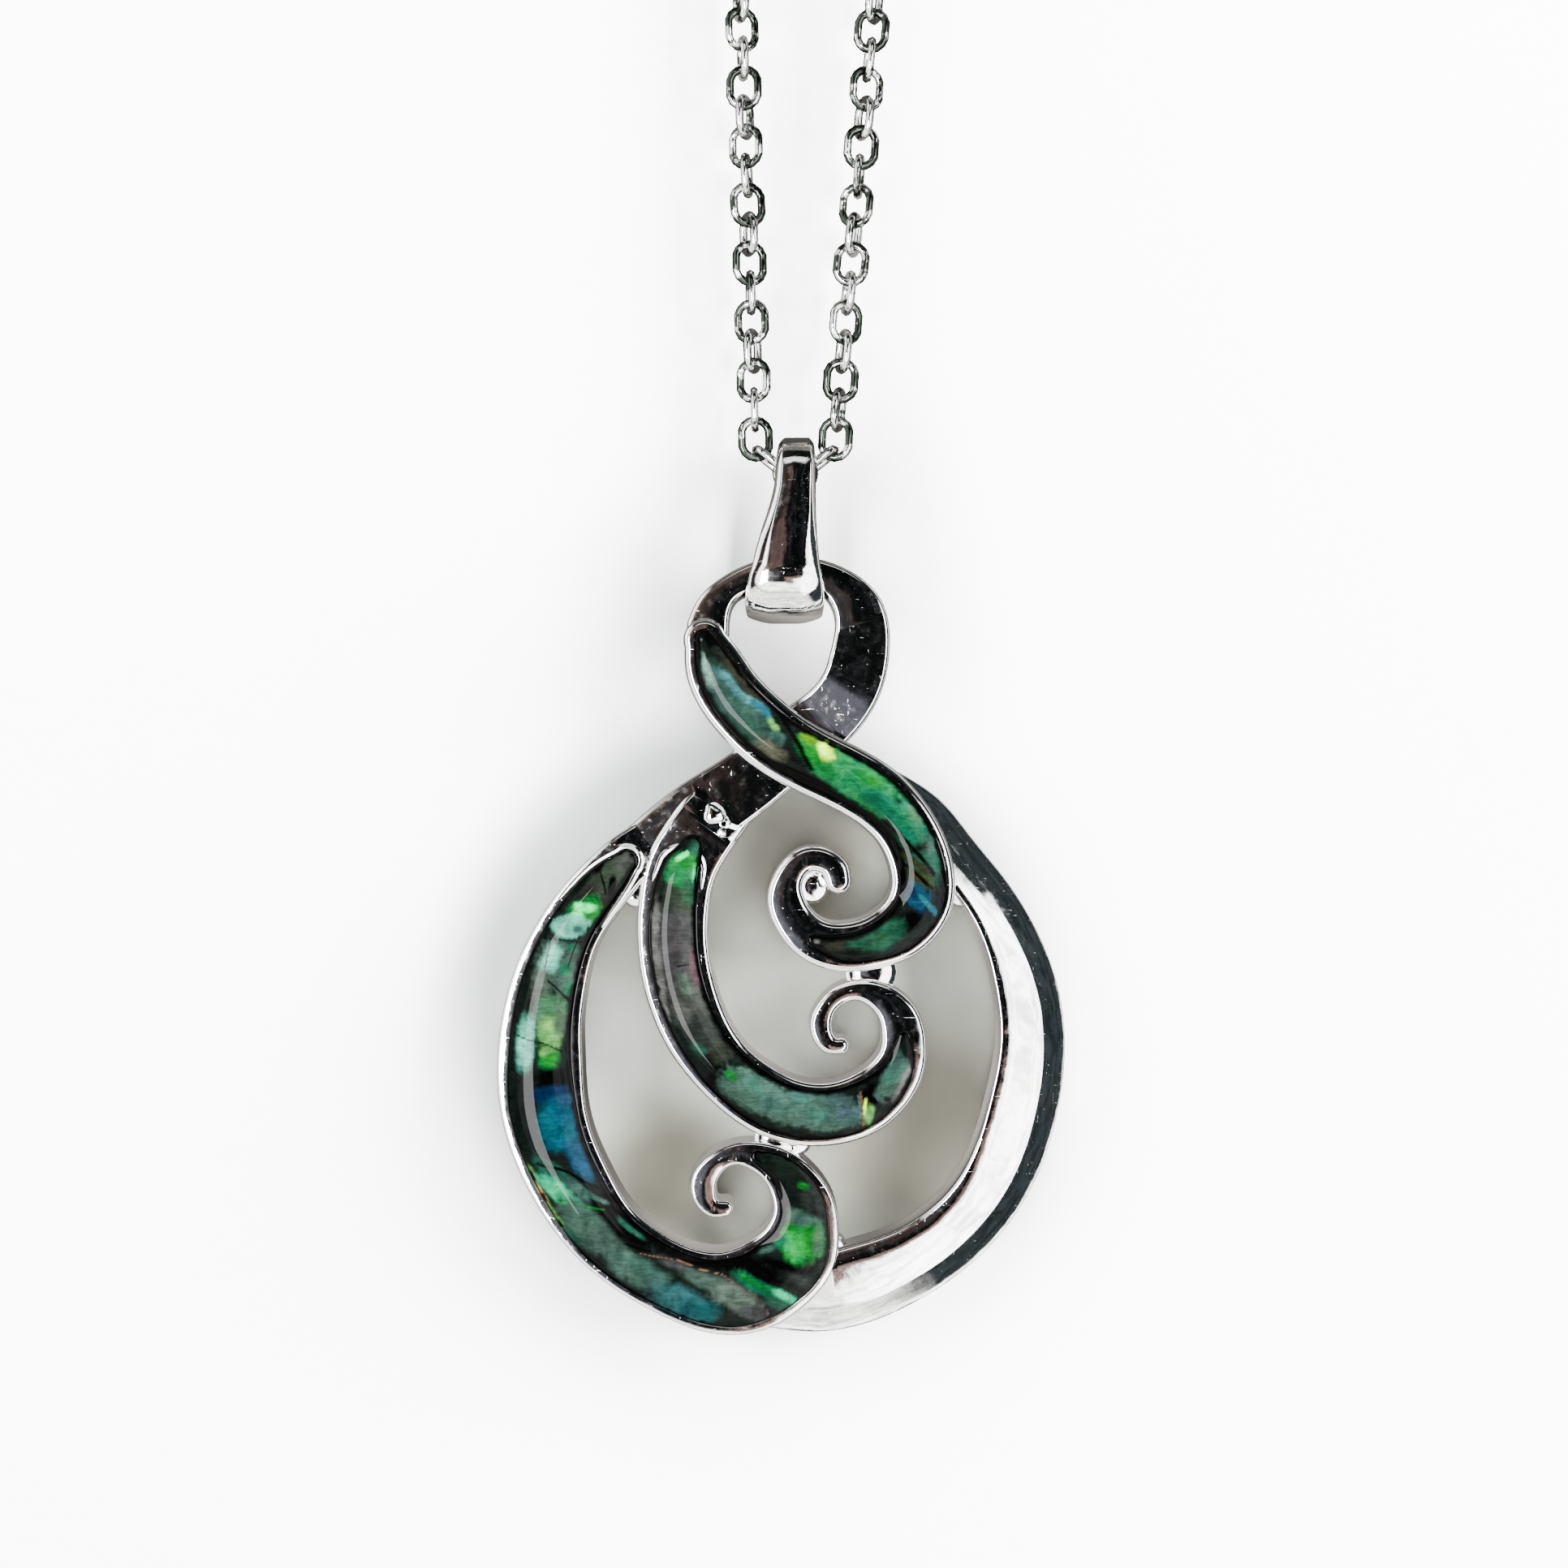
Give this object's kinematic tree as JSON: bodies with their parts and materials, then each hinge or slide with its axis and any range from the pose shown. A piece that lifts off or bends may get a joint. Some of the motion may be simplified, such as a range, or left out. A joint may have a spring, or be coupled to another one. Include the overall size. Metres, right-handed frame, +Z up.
{
  "type": "koru pendant necklace",
  "caption": "Polished silver koru twist pendant with domed shell inlays in green and blue, on a tapered bail and a fine cable chain.",
  "frame": {"origin": "the point at the top of the chain's loop, on the inner side of the chain, where a hook holds it", "axes": "+X to the right of the pendant's front, +Z up along the hanging chain, the pendant's front faces -Y"},
  "size_m": [0.0352, 0.0048, 0.2585],
  "materials": {
    "cast_silver": "polished",
    "shell_inlay": "glossy clear resin over iridescent shell",
    "bail_silver": "polished",
    "chain_silver": "polished"
  },
  "bodies": {
    "chain": {"chain_front": "chain_silver", "chain_back": "chain_silver", "clasp": "chain_silver"},
    "bail": {"bail": "bail_silver"},
    "pendant": {"pendant_frame": "cast_silver", "inlay_twist": "shell_inlay", "inlay_middle": "shell_inlay", "inlay_outer": "shell_inlay"}
  },
  "joints": [
    {"name": "bail_swing", "type": "hinge", "parent": "chain", "child": "bail", "pos_m": [-0.0055, 0, -0.2143], "axis": [1, 0, 0], "range_deg": [-60, 60]},
    {"name": "pendant_swing", "type": "hinge", "parent": "bail", "child": "pendant", "pos_m": [-0.00606, 0, -0.21931], "axis": [1, 0, 0], "range_deg": [-75, 75]}
  ]
}
